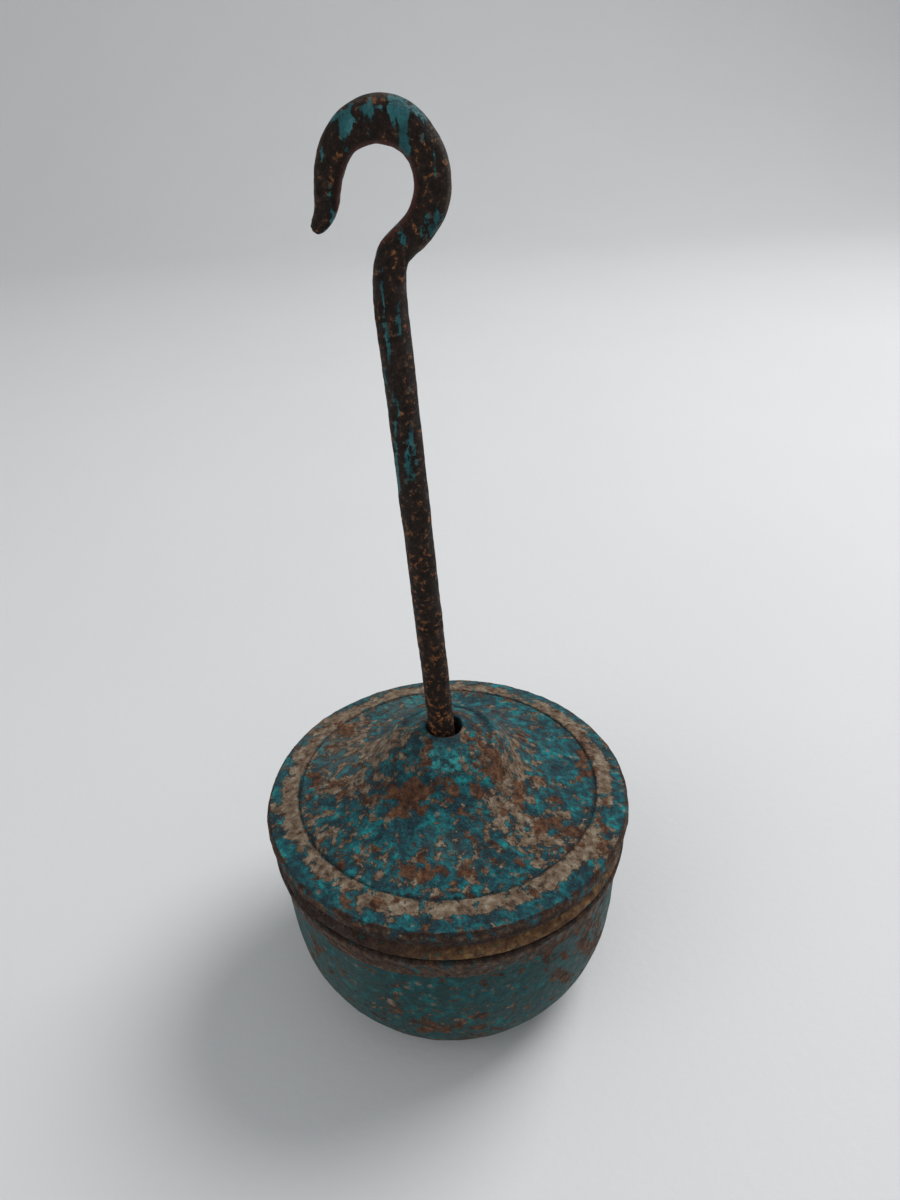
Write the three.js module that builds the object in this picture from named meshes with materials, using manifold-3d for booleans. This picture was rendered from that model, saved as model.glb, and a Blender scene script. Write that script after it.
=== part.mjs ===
// Lamp counterweight: an iron bowl of slotted ballast discs, closed by a bell-shaped lid, hung from a hooked rod.
// Millimetres, +Z up. The origin is the centre of the foot, on the surface that the weight stands on.
import * as THREE from "three";
import { mergeVertices } from "three/addons/utils/BufferGeometryUtils.js";
import Module from "manifold-3d";

const wasm = await Module();
wasm.setup();

// ---- driving dimensions ----
const ROUND = 36; // facets round each casting

const FOOT_R = 19; // outside of the flat ring that the bowl stands on
const RECESS_R = 12.5; // recess under the bowl, for the nut and washer
const RECESS_TOP = 6.8;
const FLOOR_TOP = 12; // inside floor of the bowl
const BOWL_R = 38; // bowl wall under the rim band
const BOWL_DEPTH = 38.6; // half-axis of the wall's rounded profile
const BOWL_POWER = 3.5; // fullness of that profile: 2 is an ellipse
const BAND_LOW = 37.6; // underside of the proud rim band
const BAND_R = 38.8;
const MOUTH_Z = 43; // top of the bowl's rim
const MOUTH_OUT_R = 39.5;
const MOUTH_IN_R = 34.9;
const BOWL_IN_R = 33.4;

const SEAT_GAP = 0.3; // between the lid's seat and the rim
const SPIGOT_R = 34.2; // lid's skirt inside the bowl's mouth
const SPIGOT_IN_R = 31.8;
const SPIGOT_LOW = 38.5;
const LID_R = 40;
const HOLE_R = 3.75; // loose hole for the rod
const LID_TOP = 69.1;
const HOLE_LOW = 62;

const ROD_R = 2.75;
const ROD_AT = [-0.6, 0.3, 69.3]; // the rod's axis, level with the top of the lid
const LEAN_LEFT = 3; // degrees
const LEAN_BACK = 0.5;
const ROD_BELOW = 68.3; // from that level to the rod's lower end
const FOOT_HOLE_R = 3.6; // off-centre hole in the bowl's floor
const FOOT_HOLE_AT = [2.5, -0.2];

const WASHER_R = 7.5;
const WASHER_T = 1.3;
const NUT_SIDE = 9;
const NUT_T = 3.2;
const FASTENER_BORE_R = 3.05;
const WASHER_UP = 5.0; // washer's underside, above the rod's lower end at 1.1
const NUT_UP = 1.4;

const DISC_R = 29;
const DISC_T = 5.5;
const DISC_GAP = 0.3;
const DISC_BORE_R = 6;
const DISC_SLOT = 7;
const DISC_TURNS = [20, 200, 110, 290]; // degrees that each disc's slot points to

// ---- materials ----
const paint = (hex) => new THREE.MeshStandardMaterial({ color: hex, roughness: 0.55, metalness: 0.1 });
const iron = (hex, roughness) => new THREE.MeshStandardMaterial({ color: hex, roughness, metalness: 0.6 });

// ---- solids ----
function toSolid(geometry) {
  const g = geometry.clone();
  g.deleteAttribute("normal");
  g.deleteAttribute("uv");
  const m = mergeVertices(g, 1e-4);
  return new wasm.Manifold(
    new wasm.Mesh({ numProp: 3, vertProperties: m.attributes.position.array, triVerts: new Uint32Array(m.index.array) }),
  );
}

function toGeometry(solid) {
  const m = solid.getMesh();
  const position = new Float32Array(m.numVert * 3);
  for (let i = 0; i < m.numVert; i++) position.set(m.vertProperties.subarray(i * m.numProp, i * m.numProp + 3), i * 3);
  return new THREE.BufferGeometry()
    .setAttribute("position", new THREE.BufferAttribute(position, 3))
    .setIndex(new THREE.BufferAttribute(new Uint32Array(m.triVerts), 1));
}

// A profile of [radius, height] pairs turned round +Z. It runs up the outside and down the inside.
function turned(profile, segments = ROUND) {
  const points = profile.map(([r, z]) => new THREE.Vector2(r, z));
  return new THREE.LatheGeometry(points, segments).rotateX(Math.PI / 2);
}

// A bar whose centreline, half-width in the plane of the bend and half-thickness across it are given at stations.
// Each station is [x, z, halfWidth, halfThickness], in the plane y = 0.
function forged(stations, sides = 12) {
  const n = stations.length;
  const g = new THREE.CylinderGeometry(1, 1, 1, sides, n - 1).toNonIndexed();
  const p = g.attributes.position;
  const tangents = stations.map((s, i) => {
    const a = stations[Math.max(0, i - 1)];
    const b = stations[Math.min(n - 1, i + 1)];
    return new THREE.Vector2(b[0] - a[0], b[1] - a[1]).normalize();
  });
  for (let i = 0; i < p.count; i++) {
    const k = Math.round((p.getY(i) + 0.5) * (n - 1));
    const [x, z, w, t] = stations[k];
    const d = tangents[k];
    const across = p.getX(i) * w;
    p.setXYZ(i, x + across * d.y, -p.getZ(i) * t, z - across * d.x);
  }
  return g;
}

// ---- bowl ----
const wallRadius = (z) => BOWL_R * (1 - ((BAND_LOW - z) / BOWL_DEPTH) ** BOWL_POWER) ** (1 / BOWL_POWER);
const wall = [0.9, 2.1, 4, 6.6, 10, 14.5, 20, 28].map((z) => [wallRadius(z), z]);
const bowlProfile = [
  [0, RECESS_TOP],
  [RECESS_R, RECESS_TOP],
  [RECESS_R + 0.6, 0.9],
  [RECESS_R + 1.3, 0],
  [FOOT_R, 0],
  ...wall,
  [BOWL_R, BAND_LOW - 0.9],
  [BAND_R - 0.1, BAND_LOW],
  [BAND_R + 0.1, BAND_LOW + 0.9],
  [MOUTH_OUT_R - 0.05, MOUTH_Z - 1.1],
  [MOUTH_OUT_R, MOUTH_Z - 0.5],
  [MOUTH_OUT_R - 0.4, MOUTH_Z],
  [MOUTH_IN_R + 0.5, MOUTH_Z],
  [MOUTH_IN_R, MOUTH_Z - 0.5],
  [MOUTH_IN_R, 37],
  [BOWL_IN_R, 35.2],
  [BOWL_IN_R, 20],
  [BOWL_IN_R - 1, 15.6],
  [DISC_R + 1.6, 13],
  [DISC_R + 0.4, FLOOR_TOP],
  [0, FLOOR_TOP],
];
const footHole = new THREE.CylinderGeometry(FOOT_HOLE_R, FOOT_HOLE_R, 12, 28)
  .rotateX(Math.PI / 2)
  .translate(FOOT_HOLE_AT[0], FOOT_HOLE_AT[1], (RECESS_TOP + FLOOR_TOP) / 2);
const bowlGeometry = toGeometry(toSolid(turned(bowlProfile)).subtract(toSolid(footHole)));

// ---- lid ----
const SEAT_Z = MOUTH_Z + SEAT_GAP;
const lidOutside = [
  [SPIGOT_IN_R + 0.3, SPIGOT_LOW],
  [SPIGOT_R - 0.5, SPIGOT_LOW],
  [SPIGOT_R, SPIGOT_LOW + 0.6],
  [SPIGOT_R, SEAT_Z],
  // neck: flares from under the flange out to the seat
  [MOUTH_OUT_R - 0.6, SEAT_Z],
  [MOUTH_OUT_R - 0.3, SEAT_Z + 0.5],
  [MOUTH_OUT_R - 0.7, SEAT_Z + 1.6],
  [MOUTH_OUT_R - 1.6, SEAT_Z + 3.1],
  [MOUTH_OUT_R - 1.9, SEAT_Z + 4.1],
  [MOUTH_OUT_R - 1.2, SEAT_Z + 4.7],
  // rim face
  [LID_R - 0.5, 48.3],
  [LID_R - 0.1, 49],
  [LID_R, 50],
  [LID_R - 0.15, 50.9],
  [LID_R - 0.6, 51.6],
  // flange and step line
  [36.5, 52.4],
  [33.1, 53.2],
  [32.6, 52.9],
  [32.2, 53.3],
  // concave cone
  [28, 54.1],
  [24, 55.3],
  [20, 57.1],
  [17, 59.1],
  [14.5, 61.6],
  [12.6, 64.2],
  [11.6, 65.7],
  // raised ring and cap
  [11.1, 66.3],
  [10.4, 66.4],
  [9.8, 66.3],
  [8, 67.4],
  [6, 68.5],
  [4.6, LID_TOP],
  [HOLE_R + 0.2, LID_TOP],
  [HOLE_R, LID_TOP - 0.4],
];
const lidInside = [
  [HOLE_R, HOLE_LOW],
  [7, 61.6],
  [9.4, 59.2],
  [12.5, 55.4],
  [17, 52.4],
  [24, 50.4],
  [30.6, 49],
  [SPIGOT_IN_R, 47.6],
  [SPIGOT_IN_R, SPIGOT_LOW + 0.3],
  [SPIGOT_IN_R + 0.3, SPIGOT_LOW],
];
const lidGeometry = turned([...lidOutside, ...lidInside]);

// ---- hook rod: stations from the lower end, in the rod's own frame, 0 at the top of the lid ----
const hookCurve = [
  [0.09, 90.2, 2.75, 2.7],
  [0.33, 92.4, 2.72, 2.65],
  [0.75, 94.2, 2.7, 2.62],
  [1.7, 95.95, 2.68, 2.6],
  [3.33, 97.38, 2.62, 2.6],
  [5.23, 98.82, 2.7, 2.6],
  [6.9, 100.74, 2.8, 2.6],
  [8.05, 102.74, 2.88, 2.6],
  [8.64, 105.05, 2.9, 2.58],
  [8.59, 107.4, 2.92, 2.55],
  [8.01, 109.57, 2.95, 2.52],
  [6.88, 111.5, 3.02, 2.5],
  [5.53, 113.03, 3.2, 2.48],
  [3.92, 114.16, 3.36, 2.45],
  [1.89, 114.73, 3.4, 2.42],
  [-0.25, 114.64, 3.28, 2.38],
  [-2.56, 113.92, 2.98, 2.32],
  [-4.45, 112.54, 2.68, 2.24],
  [-5.9, 110.58, 2.46, 2.12],
  [-6.91, 108.3, 2.26, 2.0],
  [-7.55, 105.84, 2.1, 1.86],
  [-8.05, 103.7, 1.9, 1.7],
  [-8.8, 102.1, 1.62, 1.5],
  [-9.75, 100.95, 1.3, 1.26],
  [-10.55, 100.35, 0.8, 0.8],
];
function smoothStations(rough, steps) {
  const path = new THREE.CatmullRomCurve3(rough.map(([x, z]) => new THREE.Vector3(x, 0, z)), false, "centripetal");
  const sizes = new THREE.CatmullRomCurve3(rough.map(([, , w, t]) => new THREE.Vector3(w, t, 0)));
  const out = [];
  for (let i = 0; i <= steps; i++) {
    const u = i / steps;
    const p = path.getPoint(u);
    const s = sizes.getPoint(u);
    out.push([p.x, p.z, s.x, s.y]);
  }
  return out;
}
const hookRodGeometry = forged([
  [0, -ROD_BELOW, ROD_R - 0.35, ROD_R - 0.35],
  [0, -ROD_BELOW + 0.4, ROD_R - 0.1, ROD_R - 0.1],
  [0, -ROD_BELOW + 6, ROD_R - 0.1, ROD_R - 0.1],
  [0, -ROD_BELOW + 7, ROD_R, ROD_R],
  [0, -30, ROD_R, ROD_R],
  [0, 0, ROD_R, ROD_R],
  [0, 30, ROD_R, ROD_R],
  [0, 60, ROD_R, ROD_R],
  [0, 86, ROD_R, ROD_R],
  ...smoothStations(hookCurve, 36),
]);

// ---- foot fasteners, in the rod's own frame ----
const washerShape = new THREE.Shape().absarc(0, 0, WASHER_R, 0, 2 * Math.PI);
washerShape.holes.push(new THREE.Path().absarc(0, 0, FASTENER_BORE_R, 0, 2 * Math.PI, true));
const washerGeometry = new THREE.ExtrudeGeometry(washerShape, { depth: WASHER_T, bevelEnabled: false, curveSegments: 10 });

const h = NUT_SIDE / 2;
const nutShape = new THREE.Shape([
  new THREE.Vector2(-h, -h),
  new THREE.Vector2(h, -h),
  new THREE.Vector2(h, h),
  new THREE.Vector2(-h, h),
]);
nutShape.holes.push(new THREE.Path().absarc(0, 0, FASTENER_BORE_R, 0, 2 * Math.PI, true));
const nutGeometry = new THREE.ExtrudeGeometry(nutShape, { depth: NUT_T, bevelEnabled: false, curveSegments: 8 }).rotateZ(0.5);

// ---- ballast discs: a keyhole slot runs from the bore to the rim, along +X ----
function discGeometry() {
  const half = DISC_SLOT / 2;
  const outer = Math.asin(half / DISC_R);
  const inner = Math.asin(half / DISC_BORE_R);
  const shape = new THREE.Shape();
  shape.absarc(0, 0, DISC_R, outer, 2 * Math.PI - outer, false);
  shape.absarc(0, 0, DISC_BORE_R, 2 * Math.PI - inner, inner, true);
  shape.closePath();
  return new THREE.ExtrudeGeometry(shape, { depth: DISC_T, bevelEnabled: false, curveSegments: 18 });
}

// ---- assembly ----
const part = new THREE.Group();
const put = (parent, name, geometry, material) => {
  const mesh = new THREE.Mesh(geometry, material);
  mesh.name = name;
  parent.add(mesh);
  return mesh;
};

put(part, "bowl", bowlGeometry, paint(0x1f6f73));
put(part, "lid", lidGeometry, paint(0x1c6a76));

const rod = new THREE.Group();
rod.position.set(...ROD_AT);
rod.rotation.set(THREE.MathUtils.degToRad(-LEAN_BACK), THREE.MathUtils.degToRad(-LEAN_LEFT), 0);
part.add(rod);
put(rod, "hook_rod", hookRodGeometry, iron(0x3b2a20, 0.85));
put(rod, "foot_washer", washerGeometry, iron(0x4a3a30, 0.8)).position.z = -ROD_BELOW + WASHER_UP - 1.1;
put(rod, "foot_nut", nutGeometry, iron(0x45362c, 0.8)).position.z = -ROD_BELOW + NUT_UP - 1.1;

const discColours = [0x4f4640, 0x534a43, 0x4b423c, 0x574e47];
DISC_TURNS.forEach((turn, i) => {
  const disc = put(part, "ballast_disc_" + (i + 1), discGeometry(), iron(discColours[i], 0.85));
  disc.position.z = FLOOR_TOP + DISC_GAP + i * (DISC_T + DISC_GAP);
  disc.rotation.z = THREE.MathUtils.degToRad(turn);
});

export default part;
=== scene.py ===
import bpy
import math
import numpy as np
from mathutils import Matrix, Vector, noise


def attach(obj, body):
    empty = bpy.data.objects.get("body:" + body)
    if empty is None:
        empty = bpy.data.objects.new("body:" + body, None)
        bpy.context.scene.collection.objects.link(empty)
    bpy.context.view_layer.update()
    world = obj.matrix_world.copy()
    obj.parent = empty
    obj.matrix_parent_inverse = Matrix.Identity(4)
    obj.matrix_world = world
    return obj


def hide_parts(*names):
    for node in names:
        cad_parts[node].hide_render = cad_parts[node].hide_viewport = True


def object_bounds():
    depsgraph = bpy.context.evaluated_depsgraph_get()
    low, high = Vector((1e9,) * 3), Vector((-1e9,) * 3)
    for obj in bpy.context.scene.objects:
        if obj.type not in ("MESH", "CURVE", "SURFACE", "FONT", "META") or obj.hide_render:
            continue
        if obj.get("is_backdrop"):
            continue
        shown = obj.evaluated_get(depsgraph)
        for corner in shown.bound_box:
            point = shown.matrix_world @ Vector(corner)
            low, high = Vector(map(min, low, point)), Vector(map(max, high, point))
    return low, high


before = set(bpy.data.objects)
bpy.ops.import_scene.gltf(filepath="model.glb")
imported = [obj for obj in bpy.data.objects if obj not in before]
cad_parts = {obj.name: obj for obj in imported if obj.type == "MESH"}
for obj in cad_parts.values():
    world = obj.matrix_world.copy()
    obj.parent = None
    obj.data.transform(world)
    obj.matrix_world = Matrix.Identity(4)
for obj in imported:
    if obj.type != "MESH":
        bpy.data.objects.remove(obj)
cad_low, cad_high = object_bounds()

# ------------------------------------------------------------ the camera's place
CAM_AT = np.array([0.00240, -0.15003, 0.19313])
PITCH, ROLL, FOCAL_PX = math.radians(31.69), math.radians(-2.472), 902.0
FORWARD = np.array([0, math.cos(PITCH), -math.sin(PITCH)])
RIGHT0 = np.array([1.0, 0, 0])
UP0 = np.array([0, math.sin(PITCH), math.cos(PITCH)])
RIGHT = math.cos(ROLL) * RIGHT0 + math.sin(ROLL) * UP0
UP = -math.sin(ROLL) * RIGHT0 + math.cos(ROLL) * UP0


def seen_at(points):
    """Where points in the row frame, in metres, come in a picture 900 wide and 1200 high."""
    q = points - CAM_AT
    d = q @ FORWARD
    return 450 + FOCAL_PX * (q @ RIGHT) / d, 600 - FOCAL_PX * (q @ UP) / d


# ------------------------------------------------------------ shapes
def spline(points, step):
    """A smooth line through points, in runs between the points that are marked hard, as (r, z) pairs about step apart."""
    runs, run = [], []
    for p in points:
        run.append((p[0], p[1]))
        if len(p) > 2 and len(run) > 1:
            runs.append(run)
            run = [(p[0], p[1])]
    if len(run) > 1:
        runs.append(run)
    out = [runs[0][0]]
    for run in runs:
        p = [np.array(x, float) for x in run]
        p = [2 * p[0] - p[1]] + p + [2 * p[-1] - p[-2]]
        for i in range(1, len(p) - 2):
            a, b, c, d = p[i - 1:i + 3]
            long = np.linalg.norm(c - b)
            m1 = (c - a) * long / (np.linalg.norm(c - b) + np.linalg.norm(b - a))
            m2 = (d - b) * long / (np.linalg.norm(c - b) + np.linalg.norm(d - c))
            n = max(1, int(math.ceil(long / step)))
            for k in range(1, n + 1):
                t = k / n
                v = (2*t**3 - 3*t*t + 1)*b + (t**3 - 2*t*t + t)*m1 + (-2*t**3 + 3*t*t)*c + (t**3 - t*t)*m2
                out.append((float(v[0]), float(v[1])))
    return out


def make_mesh(name, verts, faces):
    mesh = bpy.data.meshes.new(name)
    mesh.from_pydata([tuple(v) for v in verts], [], faces)
    mesh.update()
    mesh.polygons.foreach_set("use_smooth", [True] * len(mesh.polygons))
    obj = bpy.data.objects.new(name, mesh)
    bpy.context.scene.collection.objects.link(obj)
    return obj


def lathe_grid(loop, around):
    loop = np.array(loop)
    phi = np.linspace(0, 2 * math.pi, around, endpoint=False)
    x = np.outer(loop[:, 0], np.cos(phi))
    y = np.outer(loop[:, 0], np.sin(phi))
    z = np.repeat(loop[:, 1][:, None], around, 1)
    return np.stack([x, y, z], 2)


def loop_faces(rows, cols, wrap_rows=True):
    faces = []
    for i in range(rows if wrap_rows else rows - 1):
        j = (i + 1) % rows
        for k in range(cols):
            m = (k + 1) % cols
            faces.append((i * cols + k, i * cols + m, j * cols + m, j * cols + k))
    return faces


def fbm(points, scale, seed, octaves=3):
    off = Vector((seed * 7.3, seed * 3.1, seed * 5.7))
    return np.array([noise.fractal(Vector(p) / scale + off, 0.7, 2.1, octaves) for p in points])


def normals_of(obj):
    n = np.zeros(len(obj.data.vertices) * 3)
    obj.data.vertices.foreach_get("normal", n)
    return n.reshape(-1, 3)


def points_of(obj):
    p = np.zeros(len(obj.data.vertices) * 3)
    obj.data.vertices.foreach_get("co", p)
    return p.reshape(-1, 3)


def push(obj, amount):
    """Moves the surface out by amount, in mm, and keeps it in the CAD box."""
    p = points_of(obj) + normals_of(obj) * (amount * 0.001)[:, None]
    p = np.clip(p, np.array(cad_low) + 2e-6, np.array(cad_high) - 2e-6)
    obj.data.vertices.foreach_set("co", p.ravel())
    obj.data.update()


def keep(obj, name, values):
    a = obj.data.attributes.new(name, "FLOAT", "POINT")
    a.data.foreach_set("value", np.clip(values, -2, 2).astype(np.float32))


def ease(x, lo, hi):
    t = np.clip((x - lo) / (hi - lo), 0, 1)
    return t * t * (3 - 2 * t)


def blobs(u, v, facing, spots):
    """The strength at each vertex of soft spots given as (across, down, half width, half height, strength)."""
    out = np.zeros(len(u))
    for a, b, ra, rb, s in spots:
        out += s * np.exp(-(((u - a) / ra) ** 2 + ((v - b) / rb) ** 2) * 1.2)
    return out * facing


LID_OUT = [(32.1, 38.5, 1), (33.7, 38.5, 1), (34.2, 39.1, 1), (34.2, 43.3, 1), (38.9, 43.3, 1), (39.2, 43.8), (38.8, 44.9), (37.9, 46.4), (37.6, 47.4), (38.3, 48.0, 1),
           (39.5, 48.3), (39.9, 49), (40, 50), (39.85, 50.9), (39.4, 51.6, 1), (36.5, 52.4), (33.1, 53.2, 1), (32.75, 52.85), (32.3, 53.3, 1), (28, 54.1), (24, 55.3), (20, 57.1),
           (17, 59.1), (14.5, 61.6), (12.6, 64.2), (11.6, 65.7, 1), (11.1, 66.3), (10.4, 66.4), (9.8, 66.3, 1), (8, 67.4), (6, 68.5), (4.6, 69.1, 1), (3.95, 69.1), (3.75, 68.7, 1)]
LID_IN = [(3.75, 62, 1), (7, 61.6), (9.4, 59.2), (12.5, 55.4), (17, 52.4), (24, 50.4), (30.6, 49), (31.8, 47.6, 1), (31.8, 38.8, 1), (32.1, 38.5, 1)]
wall = lambda z: 38 * (1 - ((37.6 - z) / 38.6) ** 3.5) ** (1 / 3.5)
BOWL = [(3.6, 12, 1), (3.6, 6.8, 1), (12.5, 6.8, 1), (13.1, 0.9, 1), (13.8, 0, 1), (19, 0, 1)] + [(wall(z), z) for z in (0.9, 2.1, 4, 6.6, 10, 14.5, 20, 28)] + \
       [(38, 36.7, 1), (38.7, 37.6, 1), (38.9, 38.5), (39.45, 41.9), (39.5, 42.5), (39.1, 43, 1), (35.4, 43, 1), (34.9, 42.5, 1), (34.9, 37, 1), (33.4, 35.2, 1), (33.4, 20),
        (32.4, 15.6), (30.6, 13), (29.4, 12, 1), (3.6, 12, 1)]
AROUND = 384
STEP = 0.42

# ------------------------------------------------------------ the lid
loop = spline(LID_OUT, STEP)[:-1] + [(3.75, 68.7)] + spline([(3.75, 68.7, 1)] + LID_IN, STEP)[1:-1]
grid = lathe_grid(loop, AROUND)
lid = make_mesh("lid_skin", grid.reshape(-1, 3) * 0.001, loop_faces(len(loop), AROUND))
p = points_of(lid) * 1000
r, z = np.hypot(p[:, 0], p[:, 1]), p[:, 2]
outside = ((r > 33.9) & (z > 43.2)) | (z > np.interp(r, [3.9, 12.6, 20, 32], [67.5, 62.5, 55.5, 51.5]))
quiet = np.where(outside & (z > 43.8), 1.0, 0.05) * ease(r, 3.9, 5.5)
n = normals_of(lid)
to_cam = CAM_AT - points_of(lid)
to_cam /= np.linalg.norm(to_cam, axis=1)[:, None]
facing = ease((n * to_cam).sum(1), 0.0, 0.15) * outside
u, v = seen_at(points_of(lid))
flange = ease(r, 32.6, 33.6) * (z > 51.0)
rim = (r > 39.0) & (z > 48.0) & (z < 51.7)
neck = (r > 34.3) & (z < 48.05) & (z > 43.2)
soft = fbm(p, 9.0, 1)
fine = fbm(p, 3.0, 2)
inner_half = ease(-r, -37.6, -35.6)
wear = 0.045 + 0.08 * soft + 0.02 * fine + flange * (-0.03 + 0.21 * inner_half + 0.07 * soft) + blobs(u, v, facing, [
    (512, 775, 24, 34, .18), (540, 835, 26, 16, .13), (470, 735, 15, 12, .10), (345, 893, 34, 12, -.16), (300, 860, 16, 20, -.10), (468, 922, 40, 8, -.12), (560, 890, 34, 16, -.14), (606, 815, 7, 26, -.08),
    (360, 912, 3, 14, .22), (372, 745, 34, 26, .15), (340, 787, 30, 14, .14), (308, 855, 16, 26, .08), (322, 830, 12, 20, .06), (455, 850, 26, 12, .07), (575, 830, 16, 16, .10), (430, 830, 30, 12, -.05), (400, 835, 24, 14, -.05),
    (560, 760, 22, 30, -.06), (595, 850, 9, 20, .14), (380, 905, 24, 7, .10), (520, 700, 60, 8, -.10), (470, 800, 16, 20, -.06), (360, 815, 30, 10, -.03), (335, 725, 30, 12, .08)])
wear += np.where(rim, 0.10, 0)
rust = 0.012 + 0.075 * fine + 0.04 * soft + blobs(u, v, facing, [
    (412, 792, 22, 17, .26), (402, 806, 14, 10, .16), (415, 873, 28, 12, .24), (468, 870, 18, 9, .13), (545, 826, 22, 9, .20), (575, 832, 13, 12, .18), (490, 765, 17, 24, .22), (520, 790, 12, 20, .14), (470, 740, 12, 10, .18), (425, 765, 9, 10, .12), (582, 762, 6, 20, .20),
    (344, 788, 22, 11, .15), (315, 777, 9, 7, .20), (346, 727, 16, 7, .20), (428, 742, 6, 14, .16), (454, 790, 9, 12, .22), (468, 835, 8, 10, .16), (560, 800, 16, 14, .08), (345, 860, 10, 14, .08), (605, 835, 7, 30, .14),
    (480, 850, 14, 9, .08), (380, 905, 16, 6, .10), (590, 770, 8, 20, .08), (520, 735, 20, 10, .08)]) + np.where(rim, 0.12, 0)
# painted shade: darker in the groove at the flange step, along the rim's top edge and in the boss groove, at the top of
# the neck under the overhanging flange and down in the rod hole; three narrow dark marks on the front draw a crack
painted_shade_and_cracks = 0.85 * np.exp(-((r - 32.75) / 0.34) ** 2) * (z > 52) + 0.7 * np.exp(-((r - 39.5) / 0.22) ** 2) * ((z > 51.0) & (z < 51.9)) + 0.6 * np.exp(-((r - 9.9) / 0.4) ** 2) * (z > 65.5) * (z < 66.9)
painted_shade_and_cracks += np.where(neck, 0.95 * ease(z, 45.4, 46.9), 0) + 0.5 * ease(-r, -4.4, -3.9)
painted_shade_and_cracks += blobs(u, v, facing, [(361, 915, 1.6, 11, .8), (356, 902, 1.5, 5, .6), (365, 903, 1.5, 5, .6)])
keep(lid, "wear", wear)
keep(lid, "rust", rust)
# more painted shade: the rim face, darkest on its lower part and lighter towards the lit right side, and the neck band
# on its shaded left side
painted_shade_and_cracks += np.where(rim, 0.60 * ease(-z, -50.6, -49.6) + 0.30, 0) * (1 - 0.55 * ease(u, 560, 600)) * np.where((u > 300) & (u < 345), 0.4, 1.0) + np.where(neck, 0.75 * ease(-u, -430, -330), 0)
keep(lid, "painted_shade_and_cracks", painted_shade_and_cracks)
keep(lid, "bare", np.where(outside, 0.0, 1.0) + np.where(rim, 0.45 + 0.25 * soft, 0))
# painted light on the neck band: dark rust colour on the shaded left, turning golden towards the lit right
keep(lid, "painted_neck_light", np.where(neck, 0.25 + 0.75 * ease(u, 395, 470), 0))
keep(lid, "neck", np.where(neck | ((z < 43.6) & (r > 34)), 1.0, 0.0))
keep(lid, "green", 0 * z)
keep(lid, "cyan", blobs(u, v, facing, [(452, 764, 20, 9, .8), (431, 757, 8, 9, .6), (480, 760, 8, 8, .5), (340, 880, 14, 8, .3), (420, 700, 14, 6, .3)]))
# paler grey patches on the bell, left of the boss, behind it and in front of it
keep(lid, "dust_and_sheen", blobs(u, v, facing, [(335, 745, 30, 26, .7), (400, 705, 26, 10, .4), (450, 850, 30, 16, .18)]) + 0.04)
lumps = np.maximum(0, fine) * (0.10 + 0.35 * blobs(u, v, facing, [(452, 764, 24, 12, 1), (440, 740, 40, 20, .6)]))
push(lid, quiet * (0.16 * soft + 0.07 * fine + lumps - 0.10 * blobs(u, v, facing, [(404, 800, 24, 13, 1), (541, 827, 20, 12, 1), (360, 914, 2, 12, 3)])))
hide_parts("lid")
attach(lid, "lid")

# ------------------------------------------------------------ the bowl
loop = spline(BOWL, STEP)[:-1]
grid = lathe_grid(loop, AROUND)
near = 1 - ease(np.hypot(grid[:, :, 0], grid[:, :, 1]), 3.6, 12.0)
near *= (grid[:, :, 2] > 6.5) & (grid[:, :, 2] < 12.1)
grid[:, :, 0] += 2.5 * near
grid[:, :, 1] -= 0.2 * near
bowl = make_mesh("bowl_skin", grid.reshape(-1, 3) * 0.001, loop_faces(len(loop), AROUND))
p = points_of(bowl) * 1000
r, z = np.hypot(p[:, 0], p[:, 1]), p[:, 2]
outer = (r > np.interp(z, [0, 1, 4, 10, 20, 36, 43], [18, 20, 27, 33, 35.5, 36.5, 36.5]))
n = normals_of(bowl)
to_cam = CAM_AT - points_of(bowl)
to_cam /= np.linalg.norm(to_cam, axis=1)[:, None]
facing = ease((n * to_cam).sum(1), -0.1, 0.1) * outer
u, v = seen_at(points_of(bowl))
soft, fine = fbm(p, 10.0, 4), fbm(p, 3.0, 5)
rim = outer & (z > 36.9)
low = np.exp(-((z - 9.5) / 4.0) ** 2) * outer * (0.6 + 0.6 * np.clip(soft + 0.3, 0, 1.5))
keep(bowl, "wear", -0.05 + 0.05 * soft + 0.12 * low * (0.6 + soft) + blobs(u, v, facing, [(385, 1003, 26, 7, .14), (345, 985, 8, 8, .10), (520, 1008, 24, 5, .10), (450, 1022, 40, 5, .12)]) + np.where(rim, 0.05, 0))
keep(bowl, "rust", 0.01 + 0.08 * fine + 0.13 * low + blobs(u, v, facing, [(400, 1012, 14, 6, .14), (475, 1015, 16, 5, .14), (560, 975, 14, 10, .16), (590, 935, 12, 26, .20), (550, 955, 16, 10, .12), (500, 975, 24, 5, .10), (340, 975, 8, 8, .12), (320, 950, 8, 12, .10), (450, 1028, 46, 5, .16), (400, 985, 16, 4, .08)]) + np.where(rim, 0.10, 0))
# painted shade: dark in the joint gap at the top of the rim band and along the step at its lower edge
keep(bowl, "painted_shade_and_cracks", np.where(rim, 0.8 * ease(z, 41.9, 42.8), 0) + 0.5 * np.exp(-((z - 37.1) / 0.4) ** 2) * outer)
keep(bowl, "bare", np.where(outer, 0.0, 1.0) + np.where(rim, 0.62 + 0.30 * soft + 0.10 * fine, 0) + 0.9 * ease(-z, -0.9, -0.2) * outer)
keep(bowl, "painted_neck_light", np.where(rim, 0.15, 0))
keep(bowl, "neck", np.zeros(len(p)))
keep(bowl, "green", 1 + 0 * z)
keep(bowl, "cyan", 0 * z)
# painted sheen: the paint pales to grey on the bowl's left and right flanks
keep(bowl, "dust_and_sheen", 0.04 + 0.20 * ease(-u, -400, -330) + 0.18 * ease(u, 540, 600))
push(bowl, np.where(outer & (z > 1.0) & (z < 42.2), 1.0, 0.04) * (0.14 * soft + 0.05 * fine))
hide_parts("bowl")
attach(bowl, "bowl")

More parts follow.
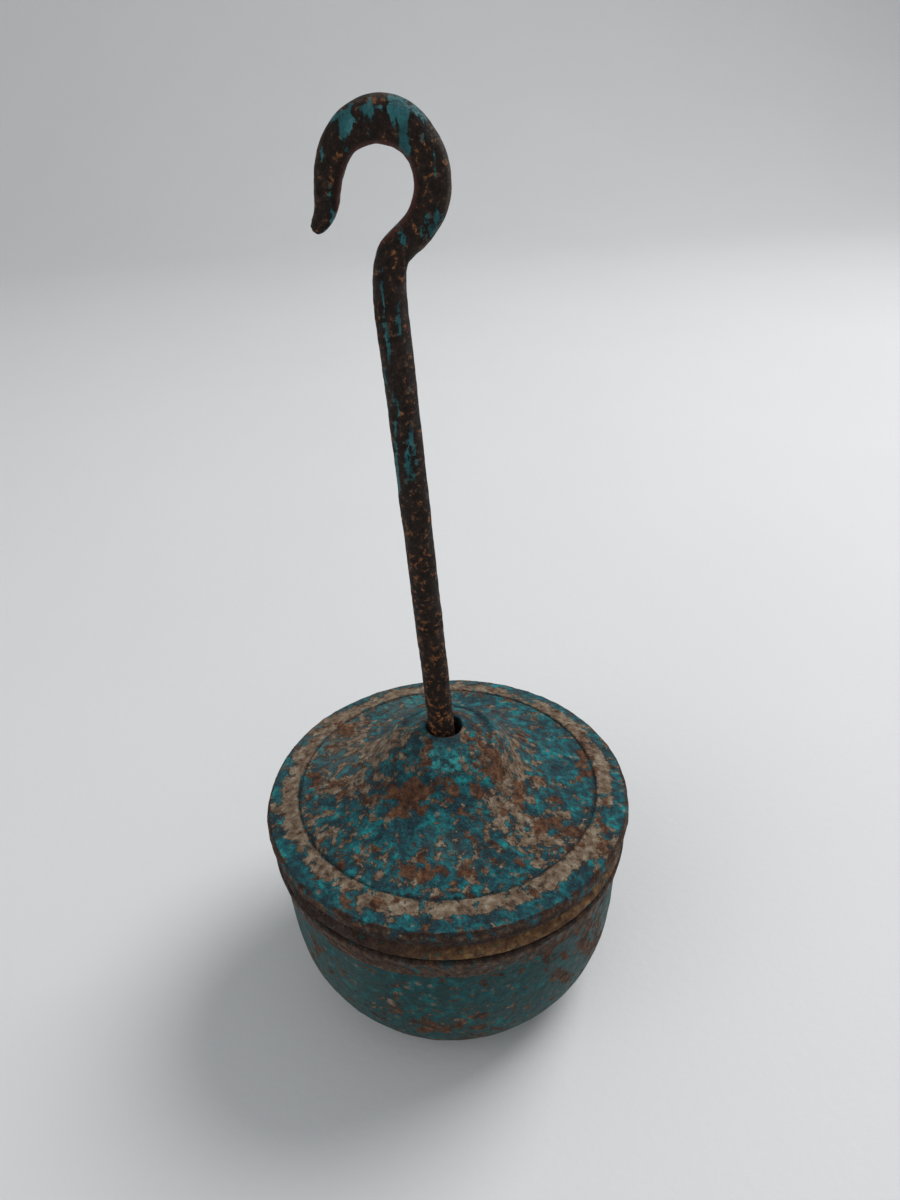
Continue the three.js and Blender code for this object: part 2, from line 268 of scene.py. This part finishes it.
# ------------------------------------------------------------ the rod and its hook
HOOK = [(0.0, 84.0, 2.75, 2.75), (0.0, 87.2, 2.75, 2.73), (0.09, 90.2, 2.75, 2.7), (0.33, 92.4, 2.72, 2.65), (0.75, 94.2, 2.7, 2.62), (1.7, 95.95, 2.68, 2.6), (3.33, 97.38, 2.62, 2.6), (5.23, 98.82, 2.7, 2.6),
        (6.9, 100.74, 2.8, 2.6), (8.05, 102.74, 2.88, 2.6), (8.64, 105.05, 2.9, 2.58), (8.59, 107.4, 2.92, 2.55), (8.01, 109.57, 2.95, 2.52), (6.88, 111.5, 3.02, 2.5), (5.53, 113.03, 3.2, 2.48),
        (3.92, 114.16, 3.36, 2.45), (1.89, 114.73, 3.4, 2.42), (-0.25, 114.64, 3.28, 2.38), (-2.56, 113.92, 2.98, 2.32), (-4.45, 112.54, 2.68, 2.24), (-5.9, 110.58, 2.46, 2.12), (-6.91, 108.3, 2.26, 2.0),
        (-7.55, 105.84, 2.1, 1.86), (-8.05, 103.7, 1.9, 1.7), (-8.8, 102.1, 1.62, 1.5), (-9.75, 100.95, 1.3, 1.26), (-10.55, 100.35, 0.8, 0.8)]
stations = [(0.0, s, 2.65 if s < -62.2 else 2.75, 2.65 if s < -62.2 else 2.75) for s in np.arange(-68.3, 84.0, 0.5)]
h = [np.array(x) for x in HOOK]
for i in range(len(h) - 1):
    a, b, c, d = h[max(i - 1, 0)], h[i], h[i + 1], h[min(i + 2, len(h) - 1)]
    for t in np.arange(0, 1, 0.17):
        stations.append(tuple(0.5 * ((2 * b) + (c - a) * t + (2*a - 5*b + 4*c - d) * t * t + (3*b - 3*c + d - a) * t ** 3)))
stations.append(HOOK[-1])
st = np.array(stations)
tangent = np.gradient(st[:, :2], axis=0)
tangent /= np.linalg.norm(tangent, axis=1)[:, None]
SIDES = 56
ang = np.linspace(0, 2 * math.pi, SIDES, endpoint=False)
lean, back = math.radians(-3.0), math.radians(-0.5)
EX = np.array([math.cos(lean), math.sin(back) * math.sin(lean), -math.cos(back) * math.sin(lean)])
EY = np.array([0, math.cos(back), math.sin(back)])
EZ = np.array([math.sin(lean), -math.sin(back) * math.cos(lean), math.cos(back) * math.cos(lean)])
AT = np.array([-0.6, 0.3, 69.3])
rings = []
for (x, s, wide, thick), (tx, ts) in zip(st, tangent):
    power = 2.0 + 0.7 * float(ease(np.array(s), 88.0, 96.0))
    c, q = np.cos(ang), np.sin(ang)
    cx, cy = np.sign(c) * np.abs(c) ** (2 / power), np.sign(q) * np.abs(q) ** (2 / power)
    inx, ins = ts, -tx
    local_x, local_s, local_y = x + wide * cx * inx, s + wide * cx * ins, thick * cy
    rings.append(AT + local_x[:, None] * EX + local_y[:, None] * EY + local_s[:, None] * EZ)
verts = np.concatenate(rings)
faces = loop_faces(len(rings), SIDES, False)
first = AT + st[0, 0] * EX + st[0, 1] * EZ
last = AT + (st[-1, 0] - 0.25) * EX + (st[-1, 1] - 0.15) * EZ
verts = np.concatenate([verts, [first], [last]])
lo_i, hi_i, base = len(verts) - 2, len(verts) - 1, (len(rings) - 1) * SIDES
for k in range(SIDES):
    m = (k + 1) % SIDES
    faces.append((lo_i, m, k))
    faces.append((hi_i, base + k, base + m))
rod = make_mesh("hook_rod_skin", verts * 0.001, faces)
p = points_of(rod) * 1000
along = (p - AT) @ EZ
side = (p - AT) @ EX
nrm = normals_of(rod)
soft, fine = fbm(p * np.array([1, 1, 0.6]), 5.0, 7), fbm(p, 1.6, 8)
streak = fbm(p * np.array([2.2, 2.2, 0.22]), 4.0, 9)
u, v = seen_at(points_of(rod))
to_cam = CAM_AT - points_of(rod)
to_cam /= np.linalg.norm(to_cam, axis=1)[:, None]
facing = ease((nrm * to_cam).sum(1), 0.0, 0.15)
high = ease(along, 25, 70)
keep(rod, "teal", -0.12 + 0.10 * high + 0.22 * high * streak + 0.05 * ease(along, 96, 104) * (0.5 + soft) + blobs(u, v, facing, [
    (352, 122, 16, 12, .24), (385, 108, 30, 7, .20), (400, 116, 14, 8, .10), (442, 190, 9, 34, -.10), (402, 240, 14, 9, .14), (330, 160, 5, 10, .06), (392, 330, 7, 30, .08), (402, 400, 6, 30, .08)]))
inner = np.zeros(len(p))
centre = AT + 0.3 * EX + 105.6 * EZ
ringed = along > 96
inner = ringed * ease(-((p - centre) / np.linalg.norm(p - centre, axis=1)[:, None] * nrm).sum(1), 0.2, 0.7)
keep(rod, "inner", inner)
keep(rod, "outer", ringed * ease(((p - centre) / np.linalg.norm(p - centre, axis=1)[:, None] * nrm).sum(1), 0.72, 0.95))
keep(rod, "rust", 0.03 * soft + 0.04 * fine + 0.05 * ease(-along, -60, -5))
push(rod, np.where(along > -58, 1.0, 0.2) * np.where((along > 1) & (along < 200), 1.0, 0.5) * (0.13 * soft + 0.06 * fine) * np.where(along > 112, 0.6, 1.0))
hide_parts("hook_rod")
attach(rod, "rod")


# ------------------------------------------------------------ materials
def material(name):
    m = bpy.data.materials.new(name)
    m.use_nodes = True
    m.node_tree.nodes.clear()
    return m


def add(t, kind, props=None, ins=None):
    node = t.nodes.new(kind)
    for k, value in (props or {}).items():
        setattr(node, k, value)
    for k, value in (ins or {}).items():
        put(t, node.inputs[k], value)
    return node


def put(t, socket, value):
    if isinstance(value, bpy.types.NodeSocket):
        t.links.new(value, socket)
    elif isinstance(value, tuple) and len(value) == 3 and socket.type == "RGBA":
        socket.default_value = (*value, 1.0)
    else:
        socket.default_value = value


def place(t, stretch=(1, 1, 1), shift=(0, 0, 0)):
    m = add(t, "ShaderNodeMapping", {}, {"Vector": add(t, "ShaderNodeTexCoord").outputs["Object"]})
    m.inputs["Scale"].default_value = stretch
    m.inputs["Location"].default_value = shift
    return m.outputs[0]


def grain(t, vec, scale, detail=3.0, rough=0.55, twist=0.0):
    return add(t, "ShaderNodeTexNoise", {}, {"Vector": vec, "Scale": scale, "Detail": detail, "Roughness": rough, "Distortion": twist}).outputs[0]


def cells(t, vec, scale):
    return add(t, "ShaderNodeTexVoronoi", {}, {"Vector": vec, "Scale": scale}).outputs["Distance"]


def ramp(t, fac, stops):
    node = add(t, "ShaderNodeValToRGB", {}, {"Fac": fac})
    e = node.color_ramp.elements
    while len(e) < len(stops):
        e.new(0.5)
    for el, (pos, col) in zip(e, stops):
        el.position = pos
        el.color = (*col, 1.0)
    return node.outputs[0]


def mix(t, fac, a, b):
    node = add(t, "ShaderNodeMix", {"data_type": "RGBA"})
    put(t, node.inputs[0], fac)
    put(t, node.inputs[6], a)
    put(t, node.inputs[7], b)
    return node.outputs[2]


def blend(t, fac, a, b):
    node = add(t, "ShaderNodeMix", {"data_type": "FLOAT"})
    put(t, node.inputs[0], fac)
    put(t, node.inputs[2], a)
    put(t, node.inputs[3], b)
    return node.outputs[0]


def calc(t, op, a, b=0.0):
    node = add(t, "ShaderNodeMath", {"operation": op})
    put(t, node.inputs[0], a)
    put(t, node.inputs[1], b)
    return node.outputs[0]


def span(t, value, lo, hi, a=0.0, b=1.0):
    return add(t, "ShaderNodeMapRange", {"interpolation_type": "SMOOTHSTEP"}, {"Value": value, "From Min": lo, "From Max": hi, "To Min": a, "To Max": b}).outputs[0]


def attribute(t, name):
    return add(t, "ShaderNodeAttribute", {"attribute_name": name, "attribute_type": "GEOMETRY"}).outputs["Fac"]


def finish_material(m, colour, rough, height, distance, metal=0.0, strength=1.0, shine=0.4):
    t = m.node_tree
    bump = add(t, "ShaderNodeBump", {}, {"Height": height, "Distance": distance, "Strength": strength})
    b = add(t, "ShaderNodeBsdfPrincipled", {}, {"Base Color": colour, "Roughness": rough, "Metallic": metal, "Specular IOR Level": shine, "Normal": bump.outputs[0]})
    out = add(t, "ShaderNodeOutputMaterial")
    t.links.new(b.outputs[0], out.inputs[0])
    return m


def painted(name):
    m = material(name)
    t = m.node_tree
    here = place(t)
    wide, mid, small, tiny = grain(t, here, 70, 3), grain(t, here, 300, 4), grain(t, here, 620, 5, 0.62), grain(t, here, 2600, 3)
    chips = grain(t, place(t, shift=(0.3, 0.1, 0.7)), 430, 6, 0.66, 0.15)
    dots = cells(t, place(t, shift=(0.9, 0.4, 0.2)), 520)
    paint = ramp(t, calc(t, "ADD", calc(t, "MULTIPLY", mid, 0.55), calc(t, "MULTIPLY", small, 0.45)), [(0.38, (0.001, 0.013, 0.020)), (0.475, (0.001, 0.044, 0.058)), (0.555, (0.001, 0.115, 0.130)), (0.67, (0.004, 0.29, 0.29))])
    paint = mix(t, span(t, small, 0.34, 0.46, 0.55, 0), paint, (0.002, 0.022, 0.030))
    paint = mix(t, calc(t, "MULTIPLY", attribute(t, "green"), span(t, mid, 0.3, 0.6, 0.88, 0.55)), paint, (0.002, 0.040, 0.036))
    paint = mix(t, calc(t, "MULTIPLY", attribute(t, "cyan"), span(t, small, 0.40, 0.6)), paint, (0.03, 0.34, 0.33))
    # dust and painted sheen: pale grey-green laid over the paint
    dust_and_sheen_amount = calc(t, "MULTIPLY", attribute(t, "dust_and_sheen"), span(t, wide, 0.3, 0.6, 0.5, 1.0))
    paint = mix(t, dust_and_sheen_amount, paint, (0.125, 0.165, 0.150))
    beige = ramp(t, small, [(0.30, (0.060, 0.034, 0.020)), (0.46, (0.150, 0.100, 0.064)), (0.59, (0.235, 0.180, 0.125)), (0.74, (0.35, 0.30, 0.235))])
    rusty = ramp(t, small, [(0.30, (0.022, 0.009, 0.006)), (0.46, (0.075, 0.029, 0.014)), (0.60, (0.155, 0.064, 0.027)), (0.75, (0.28, 0.135, 0.060))])
    iron = ramp(t, small, [(0.30, (0.020, 0.010, 0.007)), (0.50, (0.068, 0.036, 0.022)), (0.66, (0.145, 0.088, 0.054)), (0.80, (0.28, 0.22, 0.165))])
    chipped = calc(t, "ADD", chips, attribute(t, "wear"))
    spot = calc(t, "MULTIPLY", span(t, dots, 0.42, 0.22), span(t, mid, 0.50, 0.62))
    gone = calc(t, "MAXIMUM", span(t, chipped, 0.605, 0.635), calc(t, "MULTIPLY", spot, 0.85))
    edge = calc(t, "SUBTRACT", span(t, chipped, 0.575, 0.60), span(t, chipped, 0.615, 0.64))
    colour = mix(t, gone, paint, beige)
    colour = mix(t, calc(t, "MULTIPLY", edge, 0.75), colour, (0.035, 0.018, 0.012))
    rusted = span(t, calc(t, "ADD", grain(t, place(t, shift=(0.2, 0.8, 0.5)), 360, 6, 0.65, 0.2), attribute(t, "rust")), 0.605, 0.655)
    colour = mix(t, calc(t, "MULTIPLY", rusted, 0.92), colour, rusty)
    bare = span(t, calc(t, "ADD", attribute(t, "bare"), calc(t, "MULTIPLY", calc(t, "SUBTRACT", chips, 0.5), 1.6)), 0.42, 0.58)
    colour = mix(t, bare, colour, iron)
    # neck band colour: dark to golden rust, golden where light is painted on the lit side; teal flecks where chips show
    neck_rust_with_painted_light = mix(t, attribute(t, "painted_neck_light"), (0.034, 0.013, 0.009), ramp(t, small, [(0.34, (0.055, 0.024, 0.009)), (0.52, (0.150, 0.072, 0.027)), (0.70, (0.31, 0.185, 0.075))]))
    neck_rust_with_painted_light = mix(t, span(t, chips, 0.60, 0.64), neck_rust_with_painted_light, (0.016, 0.085, 0.075))
    colour = mix(t, attribute(t, "neck"), colour, neck_rust_with_painted_light)
    # painted shade: near-black in the grooves, gaps and shaded recesses, and along the crack
    colour = mix(t, calc(t, "MULTIPLY", attribute(t, "painted_shade_and_cracks"), span(t, tiny, 0.25, 0.60, 1.0, 0.72)), colour, (0.011, 0.0055, 0.0055))
    colour = mix(t, span(t, tiny, 0.58, 0.76, 0, 0.16), colour, (0.45, 0.44, 0.40))
    rough = blend(t, calc(t, "MAXIMUM", gone, rusted), span(t, mid, 0.3, 0.7, 0.42, 0.66), 0.85)
    rough = blend(t, calc(t, "MULTIPLY", bare, span(t, small, 0.55, 0.70)), rough, 0.42)
    metal = calc(t, "MULTIPLY", bare, span(t, small, 0.58, 0.72, 0.0, 0.75))
    height = calc(t, "ADD", calc(t, "MULTIPLY", small, 0.9), calc(t, "MULTIPLY", tiny, 0.28))
    height = calc(t, "SUBTRACT", height, calc(t, "MULTIPLY", gone, 0.16))
    height = calc(t, "ADD", height, calc(t, "MULTIPLY", rusted, 0.12))
    height = calc(t, "ADD", height, calc(t, "MULTIPLY", chips, 0.8))
    return finish_material(m, colour, rough, height, 0.0012, metal, 1.0, 0.22)


def forged(name):
    m = material(name)
    t = m.node_tree
    here, drawn = place(t), place(t, (1, 1, 0.16), (0.2, 0.4, 0.1))
    mid, small, tiny = grain(t, here, 330, 4), grain(t, here, 900, 5, 0.65), grain(t, here, 3000, 3)
    lines = grain(t, drawn, 520, 5, 0.6)
    base = ramp(t, small, [(0.34, (0.006, 0.003, 0.002)), (0.52, (0.020, 0.011, 0.007)), (0.67, (0.055, 0.028, 0.016)), (0.80, (0.12, 0.064, 0.036))])
    orange = ramp(t, tiny, [(0.35, (0.14, 0.050, 0.018)), (0.60, (0.33, 0.125, 0.040)), (0.75, (0.47, 0.22, 0.08))])
    spots = span(t, calc(t, "ADD", small, attribute(t, "rust")), 0.585, 0.64)
    colour = mix(t, calc(t, "MULTIPLY", spots, span(t, mid, 0.35, 0.6, 0.30, 0.95)), base, orange)
    paint = ramp(t, mid, [(0.30, (0.010, 0.070, 0.080)), (0.55, (0.024, 0.150, 0.165)), (0.75, (0.075, 0.27, 0.28))])
    coated = span(t, calc(t, "ADD", calc(t, "ADD", calc(t, "MULTIPLY", lines, 0.6), calc(t, "MULTIPLY", small, 0.4)), attribute(t, "teal")), 0.575, 0.625)
    colour = mix(t, calc(t, "MULTIPLY", coated, 0.9), colour, paint)
    colour = mix(t, calc(t, "MULTIPLY", attribute(t, "inner"), 0.75), colour, mix(t, mid, (0.045, 0.010, 0.008), (0.12, 0.030, 0.018)))
    colour = mix(t, calc(t, "MULTIPLY", attribute(t, "outer"), span(t, mid, 0.42, 0.62, 0.0, 0.40)), colour, (0.15, 0.105, 0.080))
    colour = mix(t, span(t, tiny, 0.60, 0.76, 0, 0.10), colour, (0.36, 0.30, 0.24))
    rough = blend(t, coated, span(t, mid, 0.3, 0.7, 0.52, 0.78), 0.46)
    height = calc(t, "ADD", calc(t, "ADD", small, calc(t, "MULTIPLY", tiny, 0.35)), calc(t, "MULTIPLY", coated, 0.2))
    return finish_material(m, colour, rough, height, 0.0009, span(t, tiny, 0.62, 0.76, 0.0, 0.2), 1.0, 0.2)


def plain_iron(name, low, middle, top, scale):
    m = material(name)
    t = m.node_tree
    here = place(t)
    mid, small, tiny = grain(t, here, scale, 4), grain(t, here, scale * 3, 5, 0.62), grain(t, here, scale * 9, 3)
    colour = ramp(t, small, [(0.30, low), (0.52, middle), (0.75, top)])
    colour = mix(t, span(t, mid, 0.50, 0.66, 0, 0.8), colour, mix(t, tiny, (0.10, 0.032, 0.012), (0.34, 0.14, 0.05)))
    height = calc(t, "ADD", small, calc(t, "MULTIPLY", tiny, 0.4))
    return finish_material(m, colour, span(t, mid, 0.3, 0.7, 0.55, 0.85), height, 0.0006, span(t, tiny, 0.5, 0.7, 0.0, 0.4))


paint_skin, rod_skin = painted("worn_teal_paint"), forged("rusty_forged_iron")
fastener = plain_iron("rusty_fastener", (0.020, 0.012, 0.009), (0.085, 0.050, 0.034), (0.22, 0.15, 0.10), 260)
ballast = plain_iron("raw_casting", (0.035, 0.028, 0.024), (0.105, 0.085, 0.070), (0.21, 0.18, 0.155), 180)
lid.data.materials.append(paint_skin)
bowl.data.materials.append(paint_skin)
rod.data.materials.append(rod_skin)
for node, skin in [("foot_washer", fastener), ("foot_nut", fastener)] + [(f"ballast_disc_{i}", ballast) for i in (1, 2, 3, 4)]:
    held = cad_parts[node].data.materials
    held.clear()
    held.append(skin)

# ------------------------------------------------------------ floor, backdrop and light
rows = [(-9.0, 0.0), (0.9, 0.0)] + [(0.9 + 0.6 * math.sin(a), 0.6 - 0.6 * math.cos(a)) for a in np.linspace(0.1, math.pi / 2, 14)] + [(1.5, 3.5)]
back = make_mesh("studio_floor", [(x, y, z) for y, z in rows for x in (-9.0, 9.0)], [(2 * i, 2 * i + 1, 2 * i + 3, 2 * i + 2) for i in range(len(rows) - 1)])
cloth = material("studio_white")
t = cloth.node_tree
back.data.materials.append(finish_material(cloth, ramp(t, grain(t, place(t), 9, 4), [(0.3, (0.628, 0.632, 0.632)), (0.7, (0.640, 0.645, 0.645))]), 0.7, grain(t, place(t), 400, 3), 0.0001, 0.0))
back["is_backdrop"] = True


def lamp(name, at, aim, size, watts, tint=(1, 1, 1)):
    data = bpy.data.lights.new(name, "AREA")
    data.shape, data.size, data.energy, data.color = "DISK", size, watts, tint
    obj = bpy.data.objects.new(name, data)
    bpy.context.scene.collection.objects.link(obj)
    obj.location = at
    obj.rotation_mode = "QUATERNION"
    obj.rotation_quaternion = (Vector(aim) - Vector(at)).to_track_quat("-Z", "Y")
    return obj


lamp("key", (0.62, 0.40, 0.95), (0, 0, 0.08), 0.70, 10.5)
lamp("fill", (-0.8, -0.7, 0.9), (0, 0, 0.06), 1.2, 3.4)
world = bpy.data.worlds.new("studio")
world.use_nodes = True
world.node_tree.nodes["Background"].inputs[0].default_value = (0.93, 0.96, 1.0, 1.0)
world.node_tree.nodes["Background"].inputs[1].default_value = 0.50
bpy.context.scene.world = world

camera = bpy.data.cameras.new("camera")
camera.lens, camera.sensor_width, camera.sensor_fit = 27.06, 36.0, "AUTO"
camera.clip_start, camera.clip_end = 0.01, 30.0
camera.dof.use_dof = False
cam = bpy.data.objects.new("camera", camera)
bpy.context.scene.collection.objects.link(cam)
cam.matrix_world = Matrix([(*[float(a[i]) for a in (RIGHT, UP, -FORWARD)], float(CAM_AT[i])) for i in range(3)] + [(0, 0, 0, 1)])
bpy.context.scene.camera = cam
bpy.context.scene.view_settings.view_transform = "Standard"

low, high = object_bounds()
